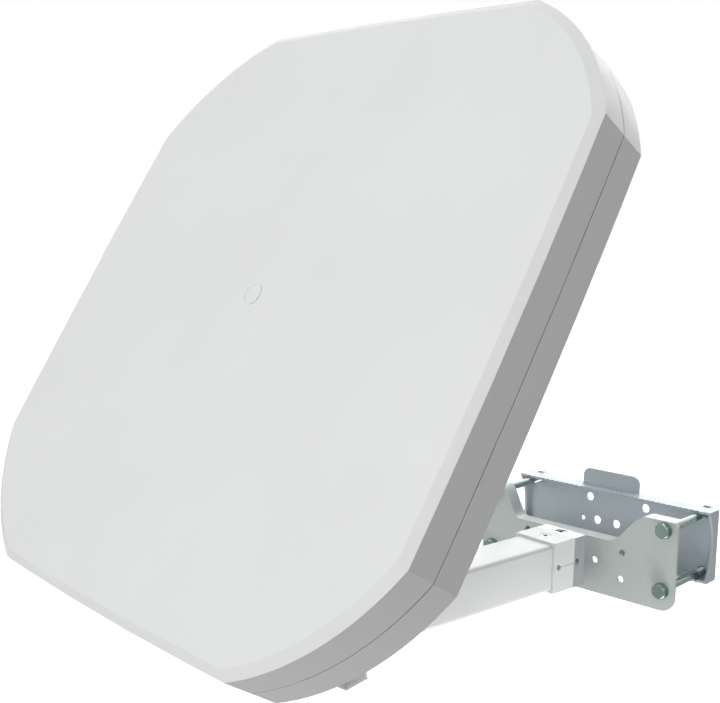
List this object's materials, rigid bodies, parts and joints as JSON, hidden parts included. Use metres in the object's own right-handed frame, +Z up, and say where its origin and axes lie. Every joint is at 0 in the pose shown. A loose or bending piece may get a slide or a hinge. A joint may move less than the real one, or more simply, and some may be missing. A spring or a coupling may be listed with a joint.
{
  "type": "flat-panel satellite antenna",
  "caption": "Flat square satellite antenna with bowed corner arcs, on a square tube arm with elevation and swivel joints and a toothed mast clamp.",
  "frame": {"origin": "on the mast's axis, at the clamp's mid height", "axes": "+Z up along the mast, -Y the way the clamp and arm reach out, +X to the right seen from the antenna's front"},
  "size_m": [0.5177, 0.6427, 0.5252],
  "materials": {
    "white_shell": "fine-grained moulded plastic",
    "white_plastic": "moulded plastic",
    "white_paint": "satin powder coat",
    "zinc_sheet": "satin zinc plate",
    "zinc_bolt": "bright zinc plate with a green cast",
    "nickel": "nickel plate",
    "rubber": "matt",
    "foam": "closed-cell foam",
    "alloy": "satin",
    "feed_film": "printed copper on film",
    "board": "solder mask",
    "brass": "turned"
  },
  "bodies": {
    "clamp": {"swivel_lug": "zinc_sheet", "lug_screws": "zinc_bolt", "front_bracket": "zinc_sheet", "clamp_bolts": "zinc_bolt", "bolt_washers": "zinc_bolt"},
    "jaw": {"rear_jaw": "zinc_sheet", "jaw_washers": "zinc_bolt", "jaw_nuts": "zinc_bolt"},
    "arm": {"arm_tube": "white_paint", "arm_end_cap": "white_plastic", "elevation_sleeves": "zinc_bolt", "elevation_bolt": "zinc_bolt", "elevation_nut": "zinc_bolt", "lock_bolt": "zinc_bolt", "lock_nut": "zinc_bolt", "elevation_washers": "zinc_bolt", "joint_upper": "white_paint", "joint_lower": "white_paint", "joint_fork": "alloy", "joint_screw": "zinc_bolt", "joint_nut": "zinc_bolt", "swivel_bolt": "zinc_bolt"},
    "head": {"front_radome": "white_shell", "blank_badge": "white_shell", "shell_gasket": "rubber", "rear_shell": "white_shell", "front_foam": "foam", "radiating_plate": "alloy", "feed_film": "feed_film", "feed_foam": "foam", "ground_plate": "alloy", "waveguide_port": "alloy", "lnb_case": "alloy", "lnb_lid": "alloy", "lnb_board": "board", "f_connectors": "nickel", "connector_seals": "rubber", "drain_plug": "rubber", "cable_outlet": "white_shell", "shell_screws": "zinc_bolt", "bracket_inserts": "brass", "back_bracket": "white_paint", "bracket_bolts": "zinc_bolt", "bracket_washers": "zinc_bolt"}
  },
  "joints": [
    {"name": "jaw_slide", "type": "slide", "parent": "clamp", "child": "jaw", "axis": [0, 1, 0], "range_m": [-0.026, 0.002]},
    {"name": "arm_swivel", "type": "hinge", "parent": "clamp", "child": "arm", "pos_m": [0, -0.065, -0.014], "axis": [0, 0, 1], "range_deg": [-24, 36]},
    {"name": "head_elevation", "type": "hinge", "parent": "arm", "child": "head", "pos_m": [-0.03773, -0.42402, -0.014], "axis": [-0.9945, 0.1045, 0], "range_deg": [-21.5, 28.5]}
  ]
}
